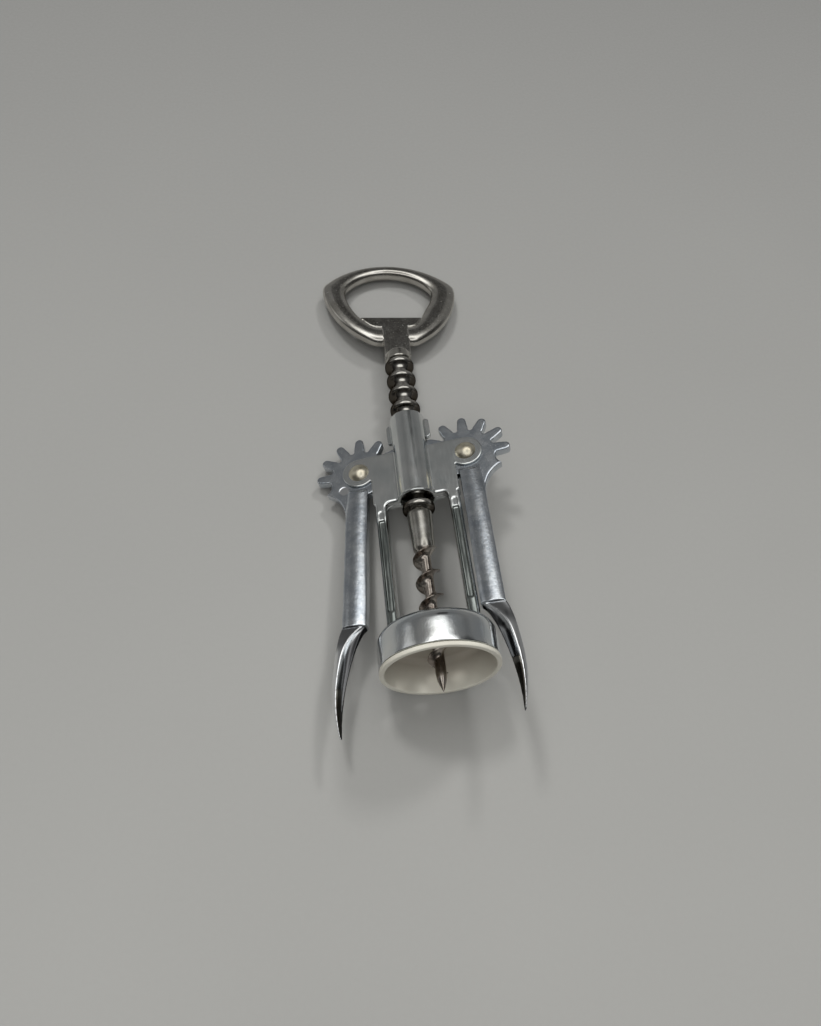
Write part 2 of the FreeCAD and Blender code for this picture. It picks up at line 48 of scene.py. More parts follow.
# Bell and liner
BELL_RADIUS = 16.9
BELL_TOP = 12.4
BELL_WALL = 0.7
BELL_SHOULDER = 4.0
BELL_HOLE = 6.5
BELL_LIFT = 0.3
BELL_EDGE = 0.3
LINER_FLANGE = 1.2
LINER_EDGE = 0.35
LINER_EDGE_RISE = 0.4
LINER_BORE = 15.5
LINER_FLOOR_RADIUS = 14.4
LINER_FLOOR_ROUND = 2.3
LINER_HOLE = 6.0
LINER_TOP = 10.7
LINER_FLOOR = 9.7
TAB_X = 11.6
TAB_HALF = 0.95
TAB_DEPTH = 1.5
TAB_SLOT = (-1.4, 1.0)

# Shells
BARREL_RADIUS = 5.85
BARREL_LOW = 57.0
LIP_HALF = 0.45
LEG_HALF = 1.8
LEG_TOP = 52.5
LEG_CROWN = 0.5
GROOVE_PLUG_HALF = 1.2
GROOVE_PLUG_ENDS = (-1.5, 2.5)
GROOVE_PLUG_DEPTHS = (1.0, 2.15)

# Rivets
PIVOT = (17.5, 71.0)
PLATE_OUTER = 2.3
RIVET_RADIUS = 2.0
RIVET_HEAD = 3.3
RIVET_RISE = 1.7
RIVET_EDGE = 0.06

# Rack. Half of a ring's section goes from its foot to its rim, as (outward, along).
RACK_LOW = 52.2
RACK_TOP = 117.0
RACK_CHAMFER = 0.2
RACK_RING_LOW = 54.0
RACK_PITCH = 6.8
RACK_RINGS = 10
RING_RADIUS = 5.1
RACK_ROOT = 2.9
RING_SINK = 0.4
RING_HALF = ((0.0, 2.9), (0.4, 2.5), (0.7, 1.95), (1.1, 1.5), (1.7, 1.15), (2.25, 0.92),
             (2.4, 0.8), (2.52, 0.6), (2.58, 0.36), (2.6, 0.0))

# Worm. The point and the shank's two ends are drawn as (radius, height from the end).
SPINDLE_RADIUS = 1.6
SPINDLE_GAP = 0.05
SPINDLE_TOP = 122.35
SHANK_TOP = 52.05
SHANK_END = 39.05
WORM_PITCH = 8.0
WORM_CORE = 1.55
WORM_TIP = -5.7
POINT_TOP = -0.5
WORM_POINT = ((0.0, 0.0), (0.12, 0.03), (0.5, 0.95), (0.9, 2.0), (1.24, 2.9), (1.45, 4.0))
SHANK_FOOT = ((WORM_CORE, -2.6), (WORM_CORE + 0.5, -1.8), (2.7, -0.9), (3.15, -0.35), (3.3, 0.0),
              (3.45, 2.5))
SHANK_HEAD = ((3.9, -1.5), (3.98, -0.3), (3.8, 0.0))
FLIGHT_RUN_OUT = 0.6
FLIGHT_SINK = 0.35
FLIGHT_HALF = ((0.0, 1.35), (0.45, 0.95), (0.9, 0.66), (1.4, 0.45), (1.9, 0.33), (2.35, 0.25),
               (2.62, 0.17), (2.7, 0.0))

# Levers, in millimetres from the pivot, for the right-hand one. A claw's edges are arcs through three
# points, and each of its heights is half the thickness at the tip, and the rise from there to the arm.
SWINGS = {"right": -2.2, "left": 3.5}
LEVER_FACE = 1.5
SECTOR_END = -17.0
TOOTH_FOOT = 9.4
TOOTH_SWELL = 0.1
ARM_END = -54.0
ARM_OUTWARD = 0.75
ARM_INWARD = 0.6
CLAW_OUTER = ((4.9, ARM_END), (8.6, -73.5), (6.55, -85.4))
CLAW_INNER = ((-0.9, ARM_END), (4.4, -69.0), (6.0, -85.4))
CLAW_TIP = CLAW_OUTER[2][1]
CLAW_LAP = 0.3
CLAW_RIDGE_HEIGHT = (0.4, 2.6)
CLAW_INNER_HEIGHT = (0.2, 1.4)
CLAW_OUTER_HEIGHT = (0.25, 1.45)
CLAW_HOLLOW = {"inner": 1.7, "outer": 1.6}
PRESS_MARK = (5.05, -5.92)
PRESS_DEPTH = 0.09

# Handle. The outlines' points are the eye's tip, top, side and base.
LOOP_CENTRE = (0.0, 148.0)
LOOP_OUTER = ((25.4, 157.0), (0.0, 169.0), (21.4, 140.8), (7.5, 126.8))
LOOP_INNER = ((17.1, 154.5), (0.0, 164.2), (15.2, 144.0), (7.5, 134.5))
EYE_NARROWING = {"right": 2.6, "left": 0.6}
NARROWING_ANGLE = 108.0
NARROWING_SPREAD = 39.0
BAR_HALF = 2.4
BAR_SIDE_ROUND = 0.78
BAR_FACE_ROUND = 0.72
FLAT_HALF = 2.05
NECK_HALF = 4.7
NECK_TOP = 137.0
LIFTING_EDGE = 139.0
NECK_LOW = 117.15
STUB_TOP = 120.75
STUB_RADIUS = 4.6
STUB_EDGE = 0.3
STUB_TAPER = 1.6

# Mesh fineness: facets round a turned piece, and the voxel of a casting's or a pressing's skin
TURNED_FACETS = 72
LEVER_VOXEL = 0.17
SKIN_VOXEL = 0.2
SKIN_PASSES = 3

# How the part lies, read from its joints
JOINTS = {joint["name"]: joint for joint in frame["joints"]}


def maker_axes(rolled):
    """The matrix from the maker's millimetres to the table: the body is rolled, the handle is flat."""
    along = -Vector(JOINTS["rack_slide"]["axis"])
    front = Vector(JOINTS["lever_right_lift"]["axis"])
    pivot = Vector(JOINTS["lever_right_lift"]["pos_m"])
    body_turn = Matrix((along.cross(front), along, front)).transposed()
    start = pivot - body_turn @ Vector((PIVOT[0], PIVOT[1], 0.0)) * MM
    flat_turn = Matrix((Vector((1, 0, 0)), along, Vector((1, 0, 0)).cross(along))).transposed()
    turn = body_turn if rolled else flat_turn
    return Matrix.Translation(start) @ turn.to_4x4() @ Matrix.Scale(MM, 4)


BODY = maker_axes(True)
FLAT = maker_axes(False)


# Mesh helpers
def new_piece(name, vertices, faces):
    mesh = bpy.data.meshes.new(name)
    mesh.from_pydata(vertices, [], faces)
    mesh.update()
    piece = bpy.data.objects.new(name, mesh)
    bpy.context.scene.collection.objects.link(piece)
    return piece


def tube_faces(stations, count, closed=False):
    """Faces between rings of points, capped at both ends unless the tube closes on itself."""
    faces = []
    for step in range(stations if closed else stations - 1):
        here = step * count
        there = (step + 1) % stations * count
        for i in range(count):
            j = (i + 1) % count
            faces.append((here + i, here + j, there + j, there + i))
    if not closed:
        faces += [tuple(range(count)), tuple(range((stations - 1) * count, stations * count))]
    return faces


def lathe(name, profile, facets=TURNED_FACETS):
    """A closed profile of (radius, y) points turned round the worm's axis, outward facing."""
    vertices = []
    for step in range(facets):
        angle = 2 * math.pi * step / facets
        vertices += [(radius * math.cos(angle), y, radius * math.sin(angle)) for radius, y in profile]
    piece = new_piece(name, vertices, tube_faces(facets, len(profile), closed=True))
    tidy_mesh(piece)
    return piece


def tidy_mesh(piece, distance=0.0005):
    """Merge doubles, drop faces with no area and turn the rest outwards."""
    work = bmesh.new()
    work.from_mesh(piece.data)
    bmesh.ops.remove_doubles(work, verts=work.verts, dist=distance)
    empty = [face for face in work.faces if face.calc_area() < 1e-12]
    bmesh.ops.delete(work, geom=empty, context="FACES_ONLY")
    bare = [edge for edge in work.edges if not edge.link_faces]
    bmesh.ops.delete(work, geom=bare, context="EDGES")
    bmesh.ops.recalc_face_normals(work, faces=work.faces)
    work.to_mesh(piece.data)
    work.free()


def bend(start, corner, end, steps):
    """Points round a corner, from start to end."""
    points = []
    for i in range(steps + 1):
        t = i / steps
        shares = ((1 - t) ** 2, 2 * t * (1 - t), t ** 2)
        parts = list(zip(shares, (start, corner, end)))
        points.append(tuple(sum(share * point[axis] for share, point in parts) for axis in (0, 1)))
    return points


def round_bend(centre, radius, first, last, steps):
    """Points on an arc of a profile, by angle in degrees."""
    points = []
    for i in range(steps + 1):
        angle = math.radians(first + (last - first) * i / steps)
        points.append((centre[0] + radius * math.cos(angle), centre[1] + radius * math.sin(angle)))
    return points


def settle(piece, axes):
    """Move a mesh from the maker's axes to its place on the table, its faces still outward."""
    piece.data.transform(axes)
    if axes.determinant() < 0:
        piece.data.flip_normals()
    piece.data.update()


def apply_modifiers(piece):
    """The evaluated shape becomes the piece's own mesh."""
    graph = bpy.context.evaluated_depsgraph_get()
    graph.update()
    result = bpy.data.meshes.new_from_object(piece.evaluated_get(graph))
    piece.modifiers.clear()
    old = piece.data
    piece.data = result
    bpy.data.meshes.remove(old)


def shade(piece, degrees):
    """Smooth shading that keeps edges sharper than the angle."""
    mesh = piece.data
    mesh.shade_smooth()
    work = bmesh.new()
    work.from_mesh(mesh)
    limit = math.radians(degrees)
    for edge in work.edges:
        edge.smooth = len(edge.link_faces) == 2 and edge.calc_face_angle(0.0) < limit
    work.to_mesh(mesh)
    work.free()


def node_copy(node, name):
    """A merged copy of a CAD node's mesh."""
    piece = bpy.data.objects.new(name, frame["nodes"][node].data.copy())
    bpy.context.scene.collection.objects.link(piece)
    tidy_mesh(piece, 2e-6)
    return piece


def paint(piece, name, tone):
    """Keep a number at each point, worked out from its place in millimetres."""
    layer = piece.data.attributes.new(name, "FLOAT", "POINT")
    layer.data.foreach_set("value", [tone(vertex.co) for vertex in piece.data.vertices])


def ease(value, low, high):
    """0 below low, 1 above high and a soft step between."""
    share = min(1.0, max(0.0, (value - low) / (high - low)))
    return share * share * (3 - 2 * share)


# Nodes
class NodeWork:
    """The nodes of a material, of the room or of a Geometry Nodes tree."""

    def __init__(self, tree):
        self.tree = tree
        self.nodes = tree.nodes
        self.nodes.clear()

    def link(self, source, target):
        self.tree.links.new(source, target)

    def add(self, kind, inputs=None, **settings):
        """A new node, with its settings, and its inputs given as values or as links."""
        node = self.nodes.new(kind)
        for key, value in settings.items():
            setattr(node, key, value)
        for key, value in (inputs or {}).items():
            if isinstance(value, bpy.types.NodeSocket):
                self.link(value, node.inputs[key])
            else:
                node.inputs[key].default_value = value
        return node

    def spread(self, value, low, high, new_low, new_high, kind="LINEAR"):
        """Map low to high onto new_low to new_high, and hold the ends."""
        return self.add("ShaderNodeMapRange", {
            "Value": value, "From Min": low, "From Max": high, "To Min": new_low, "To Max": new_high,
        }, interpolation_type=kind).outputs["Result"]

    def blend_colours(self, share, first, second):
        node = self.add("ShaderNodeMix", {"Factor": share}, data_type="RGBA")
        targets = [socket for socket in node.inputs if socket.type == "RGBA"]
        for target, colour in zip(targets, (first, second)):
            if isinstance(colour, tuple):
                target.default_value = (*colour, 1.0)
            else:
                self.link(colour, target)
        return [socket for socket in node.outputs if socket.type == "RGBA"][0]


# Finishes
class Finish(NodeWork):
    """A material under one Principled shader, patterned on Object coordinates in metres."""

    def __init__(self, name, metallic):
        self.material = bpy.data.materials.new(name)
        self.material.use_nodes = True
        super().__init__(self.material.node_tree)
        self.shader = self.add("ShaderNodeBsdfPrincipled", {"Metallic": metallic})
        self.add("ShaderNodeOutputMaterial", {"Surface": self.shader.outputs["BSDF"]})
        self.coordinates = self.add("ShaderNodeTexCoord").outputs["Object"]

    def noise(self, scale, detail, stretch=None, roughness=0.5):
        """A cloudy pattern, drawn out along the part where its stretch is under 1."""
        source = self.coordinates
        if stretch:
            source = self.add("ShaderNodeMapping", {"Vector": source, "Scale": stretch}).outputs["Vector"]
        return self.add("ShaderNodeTexNoise", {
            "Vector": source, "Scale": scale, "Detail": detail, "Roughness": roughness}).outputs["Fac"]

    def spots(self, scale, size):
        """Small round pits: 1 inside, 0 outside."""
        cells = self.add("ShaderNodeTexVoronoi", {"Vector": self.coordinates, "Scale": scale})
        return self.spread(cells.outputs["Distance"], size, size * 0.55, 0.0, 1.0)

    def tone(self, name):
        """A number painted on the piece's points."""
        return self.add("ShaderNodeAttribute", attribute_name=name).outputs["Fac"]

    def cloudy(self, pattern, first, second, low=0.3, high=0.7):
        """A colour that drifts between two by a pattern."""
        return self.blend_colours(self.spread(pattern, low, high, 0.0, 1.0), first, second)

    def colour(self, source):
        self.link(source, self.shader.inputs["Base Color"])

    def darken_with_painted_shade(self, painted_shade, unshaded, shade_colour):
        """Where painted shade is laid on, the colour and the reflection's tint go dark at every angle, as a
        painted dark reflection.
        """
        self.colour(self.blend_colours(painted_shade, unshaded, shade_colour))
        tint = self.blend_colours(painted_shade, (1.0, 1.0, 1.0), (0.12, 0.12, 0.12))
        self.link(tint, self.shader.inputs["Specular Tint"])

    def roughness(self, source):
        self.link(source, self.shader.inputs["Roughness"])

    def relief(self, heights):
        """Several bumps in turn, each given as (height, strength, depth in millimetres)."""
        normal = None
        for height, strength, depth in heights:
            inputs = {"Height": height, "Strength": strength, "Distance": depth * MM}
            if normal:
                inputs["Normal"] = normal
            normal = self.add("ShaderNodeBump", inputs).outputs["Normal"]
        self.link(normal, self.shader.inputs["Normal"])


def pressed_chrome():
    """Bright plating on the shells, with a painted dark reflection, streaked lengthwise, along the legs."""
    finish = Finish("pressed_chrome", 1.0)
    wave = finish.noise(110.0, 2.0)
    scuff = finish.noise(1500.0, 4.0, (1.0, 0.12, 1.0))
    lines = finish.noise(1300.0, 3.0, (1.0, 0.05, 1.0))
    unshaded = finish.cloudy(wave, (0.62, 0.65, 0.65), (0.76, 0.77, 0.76))
    # The streaked dark colour is a painted dark reflection on the legs.
    streaked_dark_reflection = finish.cloudy(lines, (0.12, 0.14, 0.13), (0.36, 0.39, 0.37), 0.35, 0.65)
    finish.darken_with_painted_shade(finish.tone("painted_shade"), unshaded, streaked_dark_reflection)
    finish.roughness(finish.spread(scuff, 0.35, 0.75, 0.12, 0.24))
    finish.relief([(wave, 0.15, 0.25), (scuff, 0.08, 0.02)])
    return finish.material


def bell_chrome():
    """Bright plating over the slight dents of a drawn cup."""
    finish = Finish("bell_chrome", 1.0)
    ripple = finish.noise(900.0, 3.0, (1.0, 0.5, 1.0))
    dents = finish.noise(120.0, 1.0)
    scuff = finish.noise(2200.0, 3.0)
    finish.colour(finish.cloudy(dents, (0.60, 0.64, 0.67), (0.76, 0.77, 0.76)))
    finish.roughness(finish.spread(scuff, 0.3, 0.8, 0.08, 0.18))
    finish.relief([(dents, 0.35, 0.5), (ripple, 0.5, 0.05), (scuff, 0.06, 0.01)])
    return finish.material


def plated_casting():
    """Speckled plating on the arms and sectors, polished on the claws, with a painted dark reflection on
    the claws' inner slopes and on the facet under the arm.
    """
    finish = Finish("plated_casting", 1.0)
    flow = finish.noise(260.0, 3.0)
    grain = finish.noise(1300.0, 4.0, None, 0.65)
    pits = finish.spots(900.0, 0.16)
    polish = finish.tone("polish")
    body = finish.cloudy(flow, (0.44, 0.48, 0.53), (0.66, 0.69, 0.72))
    speckled = finish.blend_colours(pits, body, (0.80, 0.82, 0.84))
    bright = finish.blend_colours(polish, speckled, (0.80, 0.81, 0.82))
    # Near-black painted dark reflection on the claws' inner slopes and the facet under the arm.
    finish.darken_with_painted_shade(finish.tone("painted_shade"), bright, (0.02, 0.02, 0.022))
    rough = finish.spread(grain, 0.3, 0.75, 0.13, 0.26)
    smoother = finish.add("ShaderNodeMix", {"Factor": polish, "A": rough, "B": 0.12})
    finish.roughness(smoother.outputs["Result"])
    finish.relief([(flow, finish.spread(polish, 0.0, 1.0, 0.35, 0.06), 0.12),
                   (grain, finish.spread(polish, 0.0, 1.0, 0.35, 0.03), 0.03),
                   (pits, 0.15, 0.01)])
    return finish.material


def handle_casting():
    """Nickelled casting, with painted shade and painted dark reflection on the rack's sides and the rings'
    faces.
    """
    finish = Finish("handle_casting", 1.0)
    flow = finish.noise(200.0, 2.0)
    grain = finish.noise(1500.0, 4.0)
    body = finish.cloudy(flow, (0.46, 0.44, 0.40), (0.62, 0.60, 0.56))
    # Dark brown painted shade and dark reflection on the rack's sides and the rings' faces.
    finish.darken_with_painted_shade(finish.tone("painted_shade"), body, (0.07, 0.06, 0.05))
    finish.roughness(finish.spread(grain, 0.3, 0.75, 0.15, 0.28))
    finish.relief([(flow, 0.2, 0.1), (grain, 0.06, 0.01)])
    return finish.material


def worm_steel():
    """Drawn steel on the shank and darker, browner steel on the worm."""
    finish = Finish("worm_steel", 1.0)
    stain = finish.noise(300.0, 4.0)
    drawn = finish.noise(800.0, 3.0, (1.0, 0.15, 1.0))
    shank = finish.cloudy(stain, (0.30, 0.29, 0.26), (0.46, 0.45, 0.42), 0.35, 0.65)
    worm = finish.cloudy(stain, (0.20, 0.165, 0.14), (0.44, 0.40, 0.36), 0.35, 0.65)
    finish.colour(finish.blend_colours(finish.tone("brown"), shank, worm))
    finish.roughness(finish.spread(drawn, 0.3, 0.7, 0.16, 0.32))
    finish.relief([(stain, 0.2, 0.05), (drawn, 0.3, 0.03)])
    return finish.material


def pale_brass():
    """Pale brass heads, a little peened."""
    finish = Finish("pale_brass", 1.0)
    cloud = finish.noise(500.0, 3.0)
    peen = finish.noise(1300.0, 2.0)
    finish.colour(finish.cloudy(cloud, (0.66, 0.60, 0.46), (0.84, 0.79, 0.65)))
    finish.roughness(finish.spread(cloud, 0.3, 0.7, 0.27, 0.38))
    finish.relief([(peen, 0.25, 0.04)])
    return finish.material


def liner_plastic():
    """Cream plastic, with painted shade making it browner deep inside."""
    finish = Finish("liner_plastic", 0.0)
    cloud = finish.noise(90.0, 3.0)
    grain = finish.noise(2600.0, 3.0)
    cream = finish.cloudy(cloud, (0.64, 0.61, 0.53), (0.74, 0.72, 0.63))
    # Painted shade deep inside the liner.
    finish.colour(finish.blend_colours(finish.tone("painted_depth_shade"), cream, (0.34, 0.31, 0.26)))
    finish.roughness(finish.spread(grain, 0.3, 0.7, 0.34, 0.46))
    finish.relief([(grain, 0.15, 0.02), (cloud, 0.1, 0.1)])
    return finish.material


PRESSED = pressed_chrome()
BELL = bell_chrome()
CASTING = plated_casting()
HANDLE = handle_casting()
WORM = worm_steel()
BRASS = pale_brass()
LINER = liner_plastic()


def hand_over(piece, body, node, material):
    """Give a finished piece its material and its body, and hide the CAD node that it stands for."""
    piece.data.materials.clear()
    piece.data.materials.append(material)
    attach(piece, body)
    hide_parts(node)


# Bell cup with its lower edge turned round and slots for the legs' tabs
def make_bell():
    low = LINER_FLANGE + BELL_LIFT
    top = BELL_TOP
    outer = BELL_RADIUS
    inner = outer - BELL_WALL
    turned = low + BELL_EDGE
    bend_low = top - BELL_SHOULDER
    shoulder = (outer - BELL_SHOULDER, bend_low)
    profile = [(inner, low + 0.15), (inner + 0.12, low), (outer - BELL_EDGE, low)]
    profile += bend((outer - BELL_EDGE, low), (outer, low), (outer, turned), 4)[1:]
    profile += [(outer, turned + (bend_low - turned) * i / 5) for i in range(1, 5)]
    profile += round_bend(shoulder, BELL_SHOULDER, 0, 90, 14)
    profile += [(shoulder[0] - 1.5, top), (BELL_HOLE + 1.2, top), (BELL_HOLE + 0.3, top)]
    profile += bend((BELL_HOLE + 0.2, top), (BELL_HOLE, top), (BELL_HOLE, top - 0.2), 3)
    profile += [(BELL_HOLE, top - BELL_WALL)]
    profile += round_bend(shoulder, BELL_SHOULDER - BELL_WALL, 90, 0, 10)
    bell = lathe("bell_cup_drawn", profile, 192)
    for x in (-TAB_X, TAB_X):
        cutter = box_piece("tab_cutter", (x - TAB_HALF, top + TAB_SLOT[0], -TAB_DEPTH),
                           (x + TAB_HALF, top + TAB_SLOT[1], TAB_DEPTH))
        cut = bell.modifiers.new("tab_slot", "BOOLEAN")
        cut.operation = "DIFFERENCE"
        cut.solver = "EXACT"
        cut.object = cutter
        apply_modifiers(bell)
        bpy.data.objects.remove(cutter)
    settle(bell, BODY)
    shade(bell, 32)
    hand_over(bell, "frame", "bell_cup", BELL)


def box_piece(name, low, high):
    """A box by its lowest and highest corners."""
    corners = [(x, y, z) for x in (low[0], high[0]) for y in (low[1], high[1]) for z in (low[2], high[2])]
    faces = [(0, 1, 3, 2), (4, 6, 7, 5), (0, 4, 5, 1), (2, 3, 7, 6), (0, 2, 6, 4), (1, 5, 7, 3)]
    piece = new_piece(name, corners, faces)
    tidy_mesh(piece)
    return piece


# Liner: flange with a soft edge, drafted bore, rounded floor and a lip round the worm's hole
def make_liner():
    rim = BELL_RADIUS
    flange = LINER_FLANGE
    skirt = rim - BELL_WALL - 0.1
    corner = BELL_SHOULDER - BELL_WALL
    mouth = LINER_BORE + LINER_EDGE
    profile = [(mouth, 0.0), (rim - LINER_EDGE, 0.0)]
    profile += bend((rim - LINER_EDGE, 0.0), (rim, 0.0), (rim, LINER_EDGE_RISE), 5)[1:]
    profile += bend((rim, flange - 0.15), (rim, flange), (rim - 0.2, flange), 3)
    profile += [(skirt, flange)]
    profile += round_bend((skirt - corner, LINER_TOP - corner), corner, 0, 90, 8)
    profile += [(LINER_HOLE + 0.2, LINER_TOP), (LINER_HOLE, LINER_TOP - 0.2)]
    profile += [(LINER_HOLE, LINER_FLOOR + 0.2), (LINER_HOLE + 0.2, LINER_FLOOR)]
    floor_bend = (LINER_FLOOR_RADIUS - LINER_FLOOR_ROUND, LINER_FLOOR - LINER_FLOOR_ROUND)
    profile += round_bend(floor_bend, LINER_FLOOR_ROUND, 90, 6, 10)
    profile += bend((LINER_BORE - 0.04, LINER_EDGE_RISE), (LINER_BORE, 0.0), (mouth, 0.0), 5)[:-1]
    liner = lathe("bell_liner_moulded", profile, 176)
    # Painted shade inside the bore.
    paint(liner, "painted_depth_shade", liner_painted_shade)
    settle(liner, BODY)
    shade(liner, 35)
    hand_over(liner, "frame", "bell_liner", LINER)


def liner_painted_shade(place):
    """Painted shade: the liner darkens from its mouth to its floor, on the inside only."""
    inside = LINER_BORE + 0.3 - math.hypot(place.x, place.z)
    return ease(place.y, 1.0, 9.0) * ease(inside, 0.0, 0.3)


# Rivets: a shank with a domed head each side
def make_rivet(side, name, node):
    sphere = (RIVET_HEAD ** 2 + RIVET_RISE ** 2) / (2 * RIVET_RISE)
    centre = PLATE_OUTER + RIVET_RISE - sphere
    edge = math.asin(RIVET_HEAD / sphere)
    steps = 14
    dome = [(sphere * math.sin(edge * i / steps), centre + sphere * math.cos(edge * i / steps))
            for i in range(1, steps + 1)]
    half = [(0.0, PLATE_OUTER + RIVET_RISE)] + dome
    half += [(RIVET_HEAD - RIVET_EDGE, PLATE_OUTER), (RIVET_RADIUS, PLATE_OUTER)]
    profile = [(radius, -height) for radius, height in half] + half[::-1]
    rivet = lathe(name, profile)
    stand = Matrix.Translation((side * PIVOT[0], PIVOT[1], 0.0)) @ Matrix.Rotation(math.radians(90), 4, "X")
    rivet.data.transform(stand)
    settle(rivet, BODY)
    shade(rivet, 40)
    hand_over(rivet, "frame", node, BRASS)


# Geometry Nodes
class Tree(NodeWork):
    """A Geometry Nodes tree with named inputs, ending in Realize Instances and Set Material."""

    def __init__(self, name, sizes):
        super().__init__(bpy.data.node_groups.new(name, "GeometryNodeTree"))
        sockets = self.tree.interface
        sockets.new_socket("Geometry", in_out="INPUT", socket_type="NodeSocketGeometry")
        self.inputs = {}
        for label, value in sizes.items():
            kind = "NodeSocketInt" if isinstance(value, int) else "NodeSocketFloat"
            socket = sockets.new_socket(label, in_out="INPUT", socket_type=kind)
            socket.default_value = value
            self.inputs[socket.identifier] = value
        sockets.new_socket("Geometry", in_out="OUTPUT", socket_type="NodeSocketGeometry")
        self.start = self.add("NodeGroupInput")
        self.end = self.add("NodeGroupOutput")

    def size(self, label):
        return self.start.outputs[label]

    def outline(self, piece):
        """A section's outline as a closed curve."""
        mesh = self.add("GeometryNodeObjectInfo", {"Object": piece}).outputs["Geometry"]
        return self.add("GeometryNodeMeshToCurve", {0: mesh}).outputs[0]

    def sweep(self, path, section, more=None):
        """Carry a section along a path with its outward side kept outward, shaded smooth."""
        upright = self.add("GeometryNodeSetCurveNormal", {"Curve": path}, mode="Z_UP").outputs[0]
        swept = self.add("GeometryNodeCurveToMesh", {
            "Curve": upright, "Profile Curve": self.outline(section), **(more or {})}).outputs[0]
        return self.add("GeometryNodeSetShadeSmooth", {0: swept}).outputs[0]

    def finish(self, added, material):
        """The piece's own mesh and what the tree adds to it."""
        joined = self.add("GeometryNodeJoinGeometry")
        for part in (self.start.outputs[0], added):
            self.link(part, joined.inputs[0])
        real = self.add("GeometryNodeRealizeInstances", {0: joined.outputs[0]}).outputs[0]
        finished = self.add("GeometryNodeSetMaterial", {0: real, "Material": material}).outputs[0]
        self.link(finished, self.end.inputs[0])

    def run(self, piece):
        """Add the tree to a turned piece, whose axis is Z while the tree runs."""
        piece.data.transform(Matrix.Rotation(math.radians(90), 4, "X"))
        modifier = piece.modifiers.new(self.tree.name, "NODES")
        modifier.node_group = self.tree
        for identifier, value in self.inputs.items():
            modifier[identifier] = value
        apply_modifiers(piece)
        piece.data.transform(Matrix.Rotation(math.radians(-90), 4, "X"))
        tidy_mesh(piece, 1e-4)


def section_piece(name, half):
    """A closed outline from half of it, given as (outward, along) points from the foot to the rim."""
    points = [(x, y, 0.0) for x, y in half] + [(x, -y, 0.0) for x, y in reversed(half) if y > 0]
    count = len(points)
    mesh = bpy.data.meshes.new(name)
    mesh.from_pydata(points, [(i, (i + 1) % count) for i in range(count)], [])
    outline = bpy.data.objects.new(name, mesh)
    bpy.context.scene.collection.objects.link(outline)
    return outline


# Rack: the sleeve is turned, and its rings are set along it at the lever teeth's pitch
def make_rack():
    bore = SPINDLE_RADIUS + SPINDLE_GAP
    half = [(bore, RACK_CHAMFER), (bore + RACK_CHAMFER, 0.0)]
    half += [(RACK_ROOT - RACK_CHAMFER, 0.0), (RACK_ROOT, RACK_CHAMFER)]
    profile = [(radius, RACK_LOW + rise) for radius, rise in half]
    profile += [(radius, RACK_TOP - rise) for radius, rise in reversed(half)]
    sleeve = lathe("rack_turned", profile)
    section = section_piece("ring_half", RING_HALF)
    tree = Tree("rack_rings", {
        "Ring Count": RACK_RINGS,
        "Ring Pitch": RACK_PITCH,
        "First Ring": RACK_RING_LOW,
        "Foot Radius": RACK_ROOT - RING_SINK,
        "Facets": TURNED_FACETS,
    })
    circle = tree.add("GeometryNodeCurvePrimitiveCircle", {
        "Resolution": tree.size("Facets"), "Radius": tree.size("Foot Radius")}).outputs[0]
    start = tree.add("ShaderNodeCombineXYZ", {"Z": tree.size("First Ring")}).outputs[0]
    offset = tree.add("ShaderNodeCombineXYZ", {"Z": tree.size("Ring Pitch")}).outputs[0]
    row = tree.add("GeometryNodeMeshLine", {
        "Count": tree.size("Ring Count"), "Start Location": start, "Offset": offset}).outputs[0]
    rings = tree.add("GeometryNodeInstanceOnPoints", {
        "Points": row, "Instance": tree.sweep(circle, section)}).outputs[0]
    tree.finish(rings, HANDLE)
    tree.run(sleeve)
    bpy.data.objects.remove(section)
    shade(sleeve, 38)
    # Painted shade on the rings' faces and painted dark reflection at the rack's sides.
    paint(sleeve, "painted_shade", rack_painted_shade)
    settle(sleeve, FLAT)
    hand_over(sleeve, "rack", "rack_sleeve", HANDLE)


def rack_painted_shade(place):
    """Painted shade and painted dark reflection: the rack stays bright along its front and back, and is
    darkened at the sides and on the rings' faces.
    """
    radius = math.hypot(place.x, place.z)
    side = ease(abs(place.x) / radius, 0.4, 0.85)
    above_foot = ease(radius, RACK_ROOT + 0.5, RACK_ROOT + 0.9)
    below_rim = 1 - ease(radius, RING_RADIUS - 0.5, RING_RADIUS - 0.15)
    return 0.95 * max(side, above_foot * below_rim)


